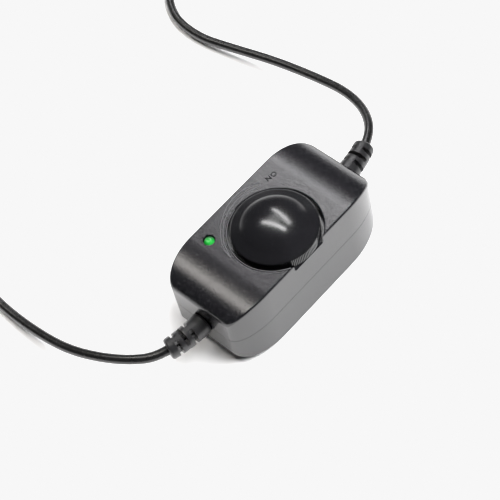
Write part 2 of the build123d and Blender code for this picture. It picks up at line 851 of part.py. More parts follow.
# Moulded grip on a lead's end: a slim tail, then a ribbed round grip
def moulded_grip(place, radius):
    tail = plug_length - plug_grip_length
    with BuildPart() as grip:
        with BuildSketch(place):
            Circle(plug_tail_radius)
        with BuildSketch(place.offset(tail)):
            Circle(radius)
        loft()
        with BuildSketch(place.offset(tail)):
            Circle(radius)
        extrude(amount=plug_grip_length)
        for rib in range(plug_rib_count):
            with BuildSketch(place.offset(tail + plug_rib_pitch * (rib + 1))):
                Circle(radius + 1)
                Circle(radius - plug_rib_depth, mode=Mode.SUBTRACT)
            extrude(amount=plug_rib_width, mode=Mode.SUBTRACT)
        with BuildSketch(place):
            Circle(cord_radius + boot_bore_gap)
        extrude(amount=plug_cord_depth, mode=Mode.SUBTRACT)
    return grip.part


plug_place = lead_end_plane(output_route)
plug_grip = moulded_grip(plug_place, plug_radius)
plug_face = plug_place.offset(plug_length)
plug_seat = plug_face.offset(-barrel_seat)
with BuildPart() as output_plug_body:
    add(plug_grip)
    with BuildSketch(plug_seat):
        Circle(barrel_flange_radius + nest_gap)
    extrude(amount=barrel_seat, mode=Mode.SUBTRACT)
output_plug_body.part.label = "output_plug_body"

# The barrel's flange sits in the grip, flush with its face
with BuildPart() as output_plug_barrel:
    with BuildSketch(plug_seat):
        Circle(barrel_flange_radius)
    extrude(amount=barrel_seat)
    with BuildSketch(plug_face):
        Circle(barrel_radius)
    extrude(amount=barrel_length)
    with BuildSketch(plug_seat):
        Circle(barrel_bore)
    extrude(amount=barrel_seat + barrel_length, mode=Mode.SUBTRACT)
output_plug_barrel.part.label = "output_plug_barrel"

with BuildPart() as output_plug_insulator:
    with BuildSketch(plug_seat):
        Circle(barrel_bore - nest_gap)
        Circle(contact_radius + nest_gap, mode=Mode.SUBTRACT)
    extrude(amount=barrel_seat + barrel_length)
output_plug_insulator.part.label = "output_plug_insulator"

with BuildPart() as output_plug_contact:
    with BuildSketch(plug_seat):
        Circle(contact_radius)
        Circle(contact_bore, mode=Mode.SUBTRACT)
    extrude(amount=barrel_seat + barrel_length)
output_plug_contact.part.label = "output_plug_contact"

socket_place = lead_end_plane(input_route)
socket_grip = moulded_grip(socket_place, socket_radius)
socket_face = socket_place.offset(plug_length)
socket_bottom = socket_face.offset(-socket_depth)
with BuildPart() as input_socket_body:
    add(socket_grip)
    with BuildSketch(socket_bottom):
        Circle(socket_bore)
    extrude(amount=socket_depth, mode=Mode.SUBTRACT)
    with BuildSketch(socket_bottom.offset(-socket_pin_seat)):
        Circle(socket_pin_radius + nest_gap)
    extrude(amount=socket_pin_seat, mode=Mode.SUBTRACT)
input_socket_body.part.label = "input_socket_body"

with BuildPart() as input_socket_liner:
    with BuildSketch(socket_bottom):
        Circle(socket_bore - nest_gap)
        Circle(socket_liner_bore, mode=Mode.SUBTRACT)
    extrude(amount=socket_depth - nest_gap)
input_socket_liner.part.label = "input_socket_liner"

with BuildPart() as input_socket_pin:
    with BuildSketch(socket_bottom.offset(-socket_pin_seat)):
        Circle(socket_pin_radius)
    extrude(amount=socket_pin_seat + socket_pin_length)
    pin_tip = input_socket_pin.faces().sort_by_distance(socket_face.origin)[0]
    fillet(pin_tip.edges(), radius=socket_pin_round)
input_socket_pin.part.label = "input_socket_pin"

os.makedirs("parts", exist_ok=True)
pieces = [
    top_cover.part,
    bottom_cover.part,
    housing_screws.part,
    dimmer_knob.part,
    pot_shaft.part,
    pot_wiper.part,
    pot_bushing.part,
    pot_washer.part,
    pot_nut.part,
    pot_case.part,
    pot_wafer.part,
    pot_switch.part,
    pot_terminals.part,
    circuit_board.part,
    filter_capacitor.part,
    power_transistor.part,
    transistor_tab.part,
    timer_chip.part,
    timer_chip_legs.part,
    resistors,
    diode,
    disc_capacitors.part,
    indicator_led.part,
    led_leads.part,
    input_wire_positive,
    input_wire_negative,
    output_wire_positive,
    output_wire_negative,
    input_strain_relief,
    output_strain_relief,
    input_cord,
    output_cord,
    output_plug_body.part,
    output_plug_barrel.part,
    output_plug_insulator.part,
    output_plug_contact.part,
    input_socket_body.part,
    input_socket_liner.part,
    input_socket_pin.part,
]
for piece in pieces:
    export_step(piece, f"parts/{piece.label}.step")
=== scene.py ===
import math

import bpy
from mathutils import Matrix, Vector
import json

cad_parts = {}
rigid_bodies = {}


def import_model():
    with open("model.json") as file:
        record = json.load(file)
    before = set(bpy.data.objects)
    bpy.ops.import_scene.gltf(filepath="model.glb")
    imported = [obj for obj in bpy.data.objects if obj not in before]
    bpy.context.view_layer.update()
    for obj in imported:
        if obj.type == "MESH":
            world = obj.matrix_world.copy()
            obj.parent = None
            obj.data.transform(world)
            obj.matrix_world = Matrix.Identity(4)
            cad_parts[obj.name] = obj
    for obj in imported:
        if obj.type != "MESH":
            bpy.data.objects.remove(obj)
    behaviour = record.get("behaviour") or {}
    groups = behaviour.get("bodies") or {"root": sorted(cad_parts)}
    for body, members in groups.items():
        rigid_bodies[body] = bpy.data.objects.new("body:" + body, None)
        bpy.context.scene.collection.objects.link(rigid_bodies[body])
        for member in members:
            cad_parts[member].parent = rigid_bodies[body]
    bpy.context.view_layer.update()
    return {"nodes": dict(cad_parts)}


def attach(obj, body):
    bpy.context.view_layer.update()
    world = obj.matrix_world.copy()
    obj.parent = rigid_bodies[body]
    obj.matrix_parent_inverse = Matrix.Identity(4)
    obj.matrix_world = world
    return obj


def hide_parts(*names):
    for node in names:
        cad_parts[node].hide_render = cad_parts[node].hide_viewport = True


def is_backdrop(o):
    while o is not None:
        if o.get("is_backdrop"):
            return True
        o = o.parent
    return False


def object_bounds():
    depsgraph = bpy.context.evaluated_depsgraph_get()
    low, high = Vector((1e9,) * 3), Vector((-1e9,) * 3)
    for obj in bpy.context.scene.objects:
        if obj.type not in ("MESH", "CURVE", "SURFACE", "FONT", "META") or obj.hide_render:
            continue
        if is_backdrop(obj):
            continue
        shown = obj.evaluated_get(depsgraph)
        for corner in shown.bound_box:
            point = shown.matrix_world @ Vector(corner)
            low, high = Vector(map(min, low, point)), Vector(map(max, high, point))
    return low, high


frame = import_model()
print("frame loaded,", len(frame["nodes"]), "nodes")

# camera, at the photograph's place

view = {
    "azimuth": -34.49,  # degrees round the object
    "elevation": 56.167,
    "roll": -16.064,
    "distance": 0.54275,
    "aim": (-0.004875, 0.00592, 0.01414),
    "lens": 124.89,
}
turn, rise, roll = (math.radians(view[key]) for key in ("azimuth", "elevation", "roll"))
backward = Vector((math.sin(turn) * math.cos(rise), -math.cos(turn) * math.cos(rise), math.sin(rise)))
level = Vector((math.cos(turn), math.sin(turn), 0))
upright = backward.cross(level)
right = level * math.cos(roll) + upright * math.sin(roll)
upward = upright * math.cos(roll) - level * math.sin(roll)
bpy.ops.object.camera_add(location=Vector(view["aim"]) + backward * view["distance"])
camera = bpy.context.active_object
camera.name = "photoCamera"
camera.rotation_euler = Matrix((right, upward, backward)).transposed().to_euler()
camera.data.lens = view["lens"]
camera.data.sensor_width = 36
camera.data.clip_start, camera.data.clip_end = 0.01, 60
bpy.context.scene.camera = camera


# small helpers

def grab(piece):
    if bpy.context.mode != "OBJECT":
        bpy.ops.object.mode_set(mode="OBJECT")
    bpy.ops.object.select_all(action="DESELECT")
    piece.select_set(True)
    bpy.context.view_layer.objects.active = piece


def named(name):
    piece = bpy.context.active_object
    piece.name = piece.data.name = name
    return piece


def settle(piece):  # place, turn and size go into the mesh
    grab(piece)
    bpy.ops.object.transform_apply(location=True, rotation=True, scale=True)
    return piece


def pickPoints(piece, chosen):  # ends in edit mode with those points selected
    grab(piece)
    bpy.ops.object.mode_set(mode="EDIT")
    bpy.ops.mesh.select_mode(type="VERT")
    bpy.ops.mesh.select_all(action="DESELECT")
    bpy.ops.object.mode_set(mode="OBJECT")
    for point in piece.data.vertices:
        point.select = chosen(point)
    bpy.ops.object.mode_set(mode="EDIT")


def pickEdges(piece, chosen, angle=30):  # sharp edges whose two ends both pass
    grab(piece)
    bpy.ops.object.mode_set(mode="EDIT")
    bpy.ops.mesh.select_mode(type="EDGE")
    bpy.ops.mesh.select_all(action="DESELECT")
    bpy.ops.mesh.edges_select_sharp(sharpness=math.radians(angle))
    bpy.ops.object.mode_set(mode="OBJECT")
    points = piece.data.vertices
    for edge in piece.data.edges:
        edge.select = edge.select and all(chosen(points[end].co) for end in edge.vertices)
    bpy.ops.object.mode_set(mode="EDIT")


def done():
    bpy.ops.object.mode_set(mode="OBJECT")


def pull(piece, chosen, shift):
    pickPoints(piece, chosen)
    bpy.ops.transform.translate(value=shift)
    done()


def stretch(piece, chosen, size):
    pickPoints(piece, chosen)
    bpy.ops.transform.resize(value=size, center_override=(0, 0, 0))
    done()


def carve(piece, tool, operation="DIFFERENCE"):
    grab(piece)
    cut = piece.modifiers.new("cut", "BOOLEAN")
    cut.operation, cut.solver, cut.object = operation, "EXACT", tool
    bpy.ops.object.modifier_apply(modifier=cut.name)
    bpy.data.objects.remove(tool)
    return piece


def rod(radius, low, high, spot=(0, 0), steps=96, top=None):
    bpy.ops.mesh.primitive_cone_add(
        vertices=steps, radius1=radius, radius2=radius if top is None else top,
        depth=high - low, location=(*spot, (low + high) / 2),
    )
    return settle(named("rod"))


def sleekNormals(piece, angle=30):
    grab(piece)
    bpy.ops.object.shade_smooth_by_angle(angle=math.radians(angle))
    even = piece.modifiers.new("evenNormals", "WEIGHTED_NORMAL")
    even.keep_sharp = True
    bpy.ops.object.modifier_apply(modifier=even.name)


# finishes

class Flow:  # one shader socket that can be used in sums
    def __init__(self, tree, socket):
        self.tree, self.socket = tree, socket

    def sum(self, operation, first, second=None, third=None):
        node = self.tree.nodes.new("ShaderNodeMath")
        node.operation = operation
        for slot, value in zip(node.inputs, (first, second, third)):
            if isinstance(value, Flow):
                self.tree.links.new(value.socket, slot)
            elif value is not None:
                slot.default_value = value
        return Flow(self.tree, node.outputs[0])

    def __add__(self, other):
        return self.sum("ADD", self, other)

    def __sub__(self, other):
        return self.sum("SUBTRACT", self, other)

    def __mul__(self, other):
        return self.sum("MULTIPLY", self, other)

    def __truediv__(self, other):
        return self.sum("DIVIDE", self, other)

    def __rsub__(self, other):
        return self.sum("SUBTRACT", other, self)

    __radd__, __rmul__ = __add__, __mul__


class Finish:  # a material under way
    def __init__(self, name, colour, roughness, metallic=0.0, **fixed):
        self.material = bpy.data.materials.new(name)
        self.material.use_nodes = True
        self.tree = self.material.node_tree
        self.shader = self.tree.nodes["Principled BSDF"]
        self.set("Base Color", (*colour, 1))
        self.set("Roughness", roughness)
        self.set("Metallic", metallic)
        for socket, value in fixed.items():
            self.set(socket.replace("_", " "), value)

    def set(self, socket, value):
        slot = self.shader.inputs[socket]
        if isinstance(value, Flow):
            self.tree.links.new(value.socket, slot)
        else:
            slot.default_value = value

    def make(self, kind, settings=None, output=0, **sockets):
        node = self.tree.nodes.new("ShaderNode" + kind)
        for key, value in (settings or {}).items():
            if key == "stops":
                ramp = node.color_ramp.elements
                while len(ramp) < len(value):
                    ramp.new(0.5)
                for stop, (place, colour) in zip(ramp, value):
                    stop.position, stop.color = place, (*colour, 1)
            else:
                setattr(node, key, value)
        for key, value in sockets.items():
            numbered = key[0] == "i" and key[1:].isdigit()  # i6 is the sixth socket, others go by name
            slot = node.inputs[int(key[1:]) if numbered else key.replace("_", " ")]
            if isinstance(value, Flow):
                self.tree.links.new(value.socket, slot)
            else:
                slot.default_value = value
        return Flow(self.tree, node.outputs[output])

    def place(self):
        return self.make("TexCoord", output="Object")

    def noise(self, scale, detail=2.0, rough=0.5, place=None):
        place = place or self.place()
        return self.make("TexNoise", None, "Fac", Vector=place, Scale=scale, Detail=detail, Roughness=rough)

    def blend(self, amount, first, second):  # two colours
        return self.make("Mix", {"data_type": "RGBA"}, 2, i0=amount, i6=first, i7=second)

    def bump(self, height, strength, depth, under=None):
        sockets = {"Height": height, "Strength": strength, "Distance": depth}
        if under is not None:
            sockets["Normal"] = under
        return self.make("Bump", **sockets)


def wear(piece, finish):
    piece.data.materials.clear()
    piece.data.materials.append(finish.material)


def twin(piece, name):  # a copy with its own mesh
    grab(piece)
    bpy.ops.object.duplicate()
    return named(name)


def block(size, centre):
    bpy.ops.mesh.primitive_cube_add(size=1, location=centre)
    piece = named("block")
    piece.scale = size
    return settle(piece)


def cutAt(piece, spot, normal, closed=True, **kept):
    pickPoints(piece, lambda point: True)
    bpy.ops.mesh.bisect(plane_co=spot, plane_no=normal, use_fill=closed, **kept)
    done()


def layAlong(piece, spot, heading):  # its own upright goes along heading, its foot to spot
    grab(piece)
    turned = Vector(heading).to_track_quat("Z", "Y").to_matrix().to_4x4()
    piece.matrix_world = Matrix.Translation(spot) @ turned
    return settle(piece)


def soften(piece, width, segments=3, angle=30):
    grab(piece)
    edge = piece.modifiers.new("softEdge", "BEVEL")
    edge.width, edge.segments, edge.limit_method = width, segments, "ANGLE"
    edge.angle_limit, edge.use_clamp_overlap = math.radians(angle), True
    bpy.ops.object.modifier_apply(modifier=edge.name)
    pickPoints(piece, lambda point: True)
    bpy.ops.mesh.remove_doubles(threshold=0.000001)
    done()


def finished(piece, body, slot, finish, *nodes, angle=30):
    sleekNormals(piece, angle)
    wear(piece, finish)
    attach(piece, body)
    if nodes:
        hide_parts(*nodes)
    return piece


housingPlastic = Finish("housingPlastic", (0.009, 0.009, 0.01), 0.25, Specular_IOR_Level=0.6)
spot = housingPlastic.place()
grain = housingPlastic.noise(1500, 3.0, 0.7, spot)
rub = housingPlastic.noise(90, 3.0, 0.55, spot)
facing = housingPlastic.make("TexCoord", output="Normal")
facing = housingPlastic.make("SeparateXYZ", None, "Z", Vector=facing)
top = housingPlastic.make("MapRange", {"interpolation_type": "SMOOTHSTEP"}, "Result",
                          Value=facing, From_Min=0.35, From_Max=0.75, To_Min=0.12, To_Max=1.0)
speck = housingPlastic.make("MapRange", {"interpolation_type": "SMOOTHSTEP"}, "Result",
                            Value=grain, From_Min=0.50, From_Max=0.68)
shade = housingPlastic.blend(speck * top, (0.0055, 0.0055, 0.0065, 1), (0.017, 0.017, 0.019, 1))
housingPlastic.set("Base Color", shade)
housingPlastic.set("Roughness", 0.165 + 0.04 * rub + 0.05 * (grain * top))
housingPlastic.set("Normal", housingPlastic.bump(grain * top, 0.5, 0.00011))

knobPlastic = Finish("knobPlastic", (0.005, 0.005, 0.006), 0.17, Specular_IOR_Level=0.5)
spot = knobPlastic.place()
smudge = knobPlastic.noise(150, 4.0, 0.6, spot)
fleck = knobPlastic.noise(2600, 2.0, 0.5, spot)
shade = knobPlastic.blend(fleck, (0.004, 0.004, 0.0048, 1), (0.007, 0.007, 0.008, 1))
knobPlastic.set("Base Color", shade)
knobPlastic.set("Roughness", 0.13 + 0.12 * smudge)
knobPlastic.set("Normal", knobPlastic.bump(fleck, 0.08, 0.00003))

softBlack = Finish("softBlack", (0.02, 0.02, 0.021), 0.45)
spot = softBlack.place()
mottle = softBlack.noise(700, 3.0, 0.6, spot)
softBlack.set("Base Color", softBlack.blend(mottle, (0.007, 0.007, 0.0075, 1), (0.014, 0.014, 0.015, 1)))
softBlack.set("Roughness", 0.30 + 0.12 * mottle)
softBlack.set("Normal", softBlack.bump(softBlack.noise(2600, 2.0, 0.6, spot), 0.35, 0.00006))

cordBlack = Finish("cordBlack", (0.012, 0.012, 0.012), 0.32)
spot = cordBlack.place()
sheen = cordBlack.noise(260, 2.0, 0.5, spot)
cordBlack.set("Base Color", cordBlack.blend(sheen, (0.004, 0.004, 0.004, 1), (0.008, 0.008, 0.0082, 1)))
cordBlack.set("Roughness", 0.22 + 0.1 * sheen)
cordBlack.set("Normal", cordBlack.bump(cordBlack.noise(900, 2.0, 0.5, spot), 0.12, 0.00006))


def metal(name, colour, roughness, scratch):
    finish = Finish(name, colour, roughness, 1.0)
    spot = finish.place()
    dull = finish.noise(400, 4.0, 0.65, spot)
    paler = tuple(min(1, part * 1.12) for part in colour)
    finish.set("Base Color", finish.blend(dull, (*(part * 0.86 for part in colour), 1), (*paler, 1)))
    finish.set("Roughness", roughness - 0.06 + 0.16 * dull)
    finish.set("Normal", finish.bump(finish.noise(3600, 2.0, 0.6, spot), scratch, 0.00004))
    return finish


platedSteel = metal("platedSteel", (0.60, 0.60, 0.61), 0.30, 0.15)
nickel = metal("nickel", (0.72, 0.69, 0.63), 0.20, 0.06)
brass = metal("brass", (0.78, 0.58, 0.27), 0.27, 0.10)


def dull(name, low, high, roughness, scale, depth):
    finish = Finish(name, high, roughness)
    spot = finish.place()
    mix = finish.noise(scale, 4.0, 0.6, spot)
    finish.set("Base Color", finish.blend(mix, (*low, 1), (*high, 1)))
    finish.set("Roughness", roughness - 0.05 + 0.1 * mix)
    finish.set("Normal", finish.bump(finish.noise(scale * 4, 2.0, 0.6, spot), 0.3, depth))
    return finish


phenolic = dull("phenolic", (0.20, 0.075, 0.025), (0.30, 0.13, 0.05), 0.5, 900, 0.00005)
boardLaminate = dull("boardLaminate", (0.018, 0.12, 0.045), (0.03, 0.19, 0.075), 0.34, 600, 0.00004)
capacitorSleeve = dull("capacitorSleeve", (0.010, 0.014, 0.045), (0.018, 0.024, 0.075), 0.3, 500, 0.00003)
componentBlack = dull("componentBlack", (0.013, 0.013, 0.013), (0.025, 0.025, 0.025), 0.5, 1500, 0.00004)
discCeramic = dull("discCeramic", (0.50, 0.20, 0.035), (0.65, 0.28, 0.06), 0.42, 700, 0.00006)
wireRed = dull("wireRed", (0.42, 0.012, 0.010), (0.55, 0.022, 0.018), 0.36, 500, 0.00003)
wireBlack = dull("wireBlack", (0.012, 0.012, 0.012), (0.022, 0.022, 0.022), 0.36, 500, 0.00003)
insulatorBlack = dull("insulatorBlack", (0.011, 0.011, 0.011), (0.02, 0.02, 0.02), 0.42, 900, 0.00003)

resistorTan = Finish("resistorTan", (0.62, 0.42, 0.22), 0.4)
spot = resistorTan.place()
band = resistorTan.make("SeparateXYZ", None, "X", Vector=spot)
band = resistorTan.make(
    "ValToRGB",
    {"stops": [(0.0, (0.62, 0.42, 0.22)), (0.30, (0.62, 0.42, 0.22)), (0.32, (0.35, 0.12, 0.03)),
               (0.38, (0.62, 0.42, 0.22)), (0.46, (0.02, 0.02, 0.02)), (0.52, (0.62, 0.42, 0.22)),
               (0.60, (0.55, 0.03, 0.02)), (0.66, (0.62, 0.42, 0.22))]},
    "Color", Fac=(band + 0.0137) * 110 + 0.5,
)
resistorTan.tree.nodes[-1].color_ramp.interpolation = "CONSTANT"
resistorTan.set("Base Color", band)
resistorTan.set("Roughness", 0.35 + 0.1 * resistorTan.noise(800, 2.0, 0.5, spot))

lamp = {
    "centre": (-0.0151, 0.0108),
    "radius": 0.00175,
    "flange": (0.0022, 0.0253, 0.0263),  # radius, low, high
    "top": 0.02865,
    "round": 0.0014,
    "glow": 0.10,
}
lampGreen = Finish("lampGreen", (0.02, 0.34, 0.045), 0.13, Specular_IOR_Level=0.7)
spot = lampGreen.place()
across = lampGreen.make("SeparateXYZ", None, "X", Vector=spot)
along = lampGreen.make("SeparateXYZ", None, "Y", Vector=spot)
# painted light: base and emission colour are painted brighter towards one side of the lens, as light
# shining through it, and darker at the far rim as painted shade
towardsPaintedBrightSide = (across - lamp["centre"][0]) * 0.80 + (along - lamp["centre"][1]) * 0.60
lit = 0.5 - towardsPaintedBrightSide * (0.5 / lamp["radius"])
lit = lit + 0.1 * lampGreen.noise(900, 2.0, 0.5, spot)
lit = lampGreen.make("MapRange", {"interpolation_type": "SMOOTHSTEP"}, "Result",
                     Value=lit, From_Min=0.15, From_Max=0.85)
lampGreen.set("Base Color", lampGreen.blend(lit, (0.004, 0.035, 0.010, 1), (0.015, 0.26, 0.035, 1)))
lampGreen.set("Emission Color", lampGreen.blend(lit, (0.0, 0.02, 0.004, 1), (0.03, 0.55, 0.05, 1)))
lampGreen.set("Emission Strength", lamp["glow"])
print("finishes made")


# cords, along the routes of the CAD
cords = {
    "diameter": 0.0032,
    "input": [
        (0.0285, 0, 0.01415), (0.0385, 0, 0.01415), (0.0515, 0.0037, 0.0141),
        (0.0584, 0.0116, 0.0132), (0.0618, 0.0228, 0.0112), (0.0621, 0.0358, 0.0086),
        (0.0606, 0.0544, 0.0060), (0.0572, 0.0720, 0.0040), (0.0545, 0.0871, 0.0024),
        (0.0570, 0.1031, 0.0018), (0.0695, 0.1155, 0.0030), (0.0835, 0.1135, 0.0055),
        (0.0925, 0.1005, 0.0055),
    ],
    "output": [
        (-0.0285, 0, 0.01415), (-0.0385, 0, 0.01415), (-0.0506, 0.0030, 0.0141),
        (-0.0565, 0.0102, 0.0128), (-0.0612, 0.0208, 0.0102), (-0.0642, 0.0330, 0.0070),
        (-0.0650, 0.0480, 0.0040), (-0.0646, 0.0642, 0.0020), (-0.0620, 0.0800, 0.0017),
        (-0.0540, 0.0950, 0.0019), (-0.0415, 0.1080, 0.0034), (-0.0285, 0.1200, 0.0052),
        (-0.0170, 0.1312, 0.0052),
    ],
}


def layCord(name, route):
    line = bpy.data.curves.new(name, "CURVE")
    line.dimensions = "3D"
    spline = line.splines.new("NURBS")
    spline.points.add(len(route) - 1)
    for point, place in zip(spline.points, route):
        point.co, point.radius = (*place, 1), cords["diameter"] / 2
    spline.order_u = 3
    spline.use_endpoint_u = True
    line.resolution_u, line.bevel_depth, line.bevel_resolution = 16, 1.0, 8
    line.use_radius, line.use_fill_caps = False, True
    piece = bpy.data.objects.new(name, line)
    bpy.context.collection.objects.link(piece)
    piece.data.materials.append(cordBlack.material)
    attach(piece, "housing")
    return piece


inputCord = layCord("inputCord", cords["input"])
outputCord = layCord("outputCord", cords["output"])
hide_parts("input_cord")
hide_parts("output_cord")
print("cords laid")


# grips on the ends of the cords
grip = {
    "length": 0.027,
    "tail": (0.0025, 0.011),  # radius, length
    "depth": 0.006,  # how far the cord goes in
    "ribs": 6,
    "rib": (0.0019, 0.0009, 0.00035),  # pitch, width, depth
    "edge": 0.0004,
    "tailEdge": 0.0003,
    "soft": 0.00009,
    "overlap": 0.0004,  # how far the tail's cone runs into the grip
}


def moulded(name, radius, route, bores):
    tail, pitch, width, depth = grip["tail"][1], *grip["rib"]
    piece = rod(radius, tail, grip["length"], steps=72)
    pickEdges(piece, lambda spot: spot.z > grip["length"] - 1e-5)
    bpy.ops.mesh.bevel(offset=grip["edge"], segments=4, affect="EDGES")
    done()
    for count in range(1, grip["ribs"] + 1):
        low = tail + pitch * count
        ring = rod(radius + 0.001, low, low + width, steps=72)
        ring = carve(ring, rod(radius - depth, low - 0.001, low + width + 0.001, steps=72))
        carve(piece, ring)
    neck = rod(grip["tail"][0], 0, tail + grip["overlap"], steps=72, top=radius - 0.00003)
    carve(piece, neck, "UNION")
    pickEdges(piece, lambda spot: spot.z < 1e-5)
    bpy.ops.mesh.bevel(offset=grip["tailEdge"], segments=3, affect="EDGES")
    done()
    carve(piece, rod(cords["diameter"] / 2 + 0.00005, -0.001, grip["depth"], steps=48))
    for bore, low in bores:
        carve(piece, rod(bore, low, grip["length"] + 0.001, steps=72))
    soften(piece, grip["soft"], 2)
    piece.name = piece.data.name = name
    last, before = Vector(route[-1]), Vector(route[-2])
    heading = (last - before).normalized()
    return layAlong(piece, last - heading * grip["depth"], heading)


plugGrip = moulded("plugGrip", 0.0052, cords["output"], [(0.00355, 0.024)])
finished(plugGrip, "housing", "soft_black", softBlack, "output_plug_body")
socketGrip = moulded("socketGrip", 0.0055, cords["input"], [(0.00105, 0.0145), (0.0032, 0.0175)])
finished(socketGrip, "housing", "soft_black", softBlack, "input_socket_body")
print("grips made")


# strain reliefs, segmented and bent with the cord
relief = {
    "start": 0.0045,  # from the cord's inner end to the housing's face
    "root": 0.00385,
    "tip": 0.0035,
    "length": 0.014,
    "neck": (0.003, 0.00185),  # radius, length
    "flange": (0.0042, 0.0015),  # radius, thickness
    "tipRound": 0.0008,
    "slots": (0.0056, 0.0083, 0.0110),
    "slot": 0.0012,
    "web": 0.002,
    "rings": 14,  # sections along it, for the bend
    "soft": 0.0001,
}


def strainRelief(name, cord):
    long = relief["length"]
    piece = rod(relief["root"], 0, long, steps=72, top=relief["tip"])
    for count in range(1, relief["rings"]):
        cutAt(piece, (0, 0, long * count / relief["rings"]), (0, 0, 1), closed=False)
    pickEdges(piece, lambda spot: spot.z > long - 1e-5)
    bpy.ops.mesh.bevel(offset=relief["tipRound"], segments=6, affect="EDGES")
    done()
    neck, flange = relief["neck"], relief["flange"]
    carve(piece, rod(neck[0], -neck[1] - 0.0001, 0.0005, steps=72), "UNION")
    carve(piece, rod(flange[0], -neck[1] - flange[1], -neck[1], steps=72), "UNION")
    carve(piece, rod(cords["diameter"] / 2 + 0.00003, -0.01, 0.02, steps=48))
    for count, reach in enumerate(relief["slots"]):
        low, high = reach - relief["slot"] / 2, reach + relief["slot"] / 2
        cut = rod(0.005, low, high, steps=48)
        web = (0.02, relief["web"], 0.01) if count % 2 == 0 else (relief["web"], 0.02, 0.01)
        carve(piece, carve(cut, block(web, (0, 0, reach))))
    soften(piece, relief["soft"], 2, 40)
    piece.name = piece.data.name = name
    piece.rotation_euler = (0, math.pi / 2, 0)
    piece.location = (relief["start"], 0, 0)
    settle(piece)
    bend = piece.modifiers.new("alongCord", "CURVE")
    bend.object, bend.deform_axis = cord, "POS_X"
    bpy.ops.object.modifier_apply(modifier=bend.name)
    return piece


inputRelief = strainRelief("inputRelief", inputCord)
outputRelief = strainRelief("outputRelief", outputCord)
finished(inputRelief, "housing", "soft_black", softBlack, "input_strain_relief")
finished(outputRelief, "housing", "soft_black", softBlack, "output_strain_relief")
print("strain reliefs made")


# the moulded housing
housing = {
    "steps": 256,
    "half": 0.033,
    "halfWidth": 0.0166,
    "height": 0.0283,
    "parting": 0.01415,
    "wall": 0.0018,
    "corner": (0.0150, 0.0060),  # the rounding's reach along and across
    "roof": (0.0154, 0.0065),  # reach along, drop at the end
    "belly": (0.0200, 0.0070),
    "crease": 0.0003,  # the curves would meet this far past the ends
    "edge": 0.0007,
    "lip": (0.0010, 0.00177, 0.0008, 0.0012),  # outer and inner inset, reach below and above the joint
    "groove": (0.0009, 0.0019, 0.0013),  # outer and inner inset, height
    "seam": (0.00014, 0.00025),  # height, depth
    "recess": {
        "radius": 0.0150,
        "z": 0.0257,
        "floor": 0.0240,  # underside of the recess
        "y": -0.00315,
        "hole": 0.0036,
        "rim": (0.0004, 33),  # chamfer: width, degrees
        "sill": (0.0124, 0.0007),  # the notch's chamfer: length, side of the square that makes it
        "web": 0.0017,  # wall round the recess, inside
    },
    "bootHole": 0.0031,
    "screws": (0.0250, 0.0096),  # places of the four
    "screwHole": (0.0025, 0.0070, 0.00145),  # head's radius, seat, shank's radius
    "pilot": (0.00125, 0.0198),  # radius, top
    "bosses": (0.0037, 0.0027),  # radius below and above the joint
    "bossTop": 0.0265,
    "posts": (0.0185, 0.0108, 0.0022, 0.0056),  # x, y, radius, top
    "pegs": (0.0009, 0.0078),  # radius, top
    "lampHole": 0.00195,
}


def planPrism(inset, low, high):  # the outline seen from above
    (run, side), steps = housing["corner"], housing["steps"]
    bpy.ops.mesh.primitive_cylinder_add(
        vertices=steps, radius=1, depth=high - low, location=(0, 0, (low + high) / 2),
        rotation=(0, 0, math.pi / steps),
    )
    piece = settle(named("planPrism"))
    stretch(piece, lambda point: True, (run - inset, side - inset, 1))
    across, along = housing["half"] - run, housing["halfWidth"] - side
    for sign in (1, -1):
        pull(piece, lambda point: point.co.x * sign > 0, (sign * across, 0, 0))
        pull(piece, lambda point: point.co.y * sign > 0, (0, sign * along, 0))
    return piece


def sidePrism(inset):  # the outline seen from the side
    steps, half = housing["steps"], housing["half"]
    bpy.ops.mesh.primitive_cylinder_add(
        vertices=steps, radius=1, depth=0.04, rotation=(math.pi / 2, math.pi / steps, 0),
    )
    piece = settle(named("sidePrism"))
    for sign, (run, drop) in ((1, housing["roof"]), (-1, housing["belly"])):
        stretch(piece, lambda point: point.co.z * sign > 0, (run - inset, 1, drop - inset))
    for sign, (run, drop) in ((1, housing["roof"]), (-1, housing["belly"])):
        rise = housing["height"] - drop if sign > 0 else drop
        centre = half - run + housing["crease"]
        for side in (1, -1):
            pull(
                piece, lambda point: point.co.z * sign > 0 and point.co.x * side > 0,
                (side * centre, 0, 0),
            )
        pull(piece, lambda point: point.co.z * sign > 0, (0, 0, rise))
    return piece


def housingForm(inset):
    return carve(planPrism(inset, -0.001, 0.030), sidePrism(inset), "INTERSECT")


def outlineRing(outer, inner, low, high):
    return carve(planPrism(outer, low, high), planPrism(inner, low - 0.001, high + 0.001))


def atCorners(place, make):  # four of one thing, joined
    made = [make((x, y)) for x in (-place[0], place[0]) for y in (-place[1], place[1])]
    grab(made[0])
    for piece in made:
        piece.select_set(True)
    bpy.ops.object.join()
    return named("four")


parting, recess = housing["parting"], housing["recess"]
outer = housingForm(0)
pickEdges(outer, lambda spot: True, 20)
bpy.ops.mesh.bevel(
    offset=housing["edge"], segments=4, affect="EDGES", clamp_overlap=False, loop_slide=False,
)
done()
print("outer form", len(outer.data.vertices))

cavity = housingForm(housing["wall"])
above, outside = 0.04, 0.04  # clear of the whole housing
recessAt = (0, recess["y"])
carve(cavity, rod(recess["radius"] + recess["web"], recess["floor"], above, recessAt, 192))
bootHole = rod(housing["bootHole"], -outside, outside)
bootHole.rotation_euler, bootHole.location = (0, math.pi / 2, 0), (0, 0, parting)
settle(bootHole)

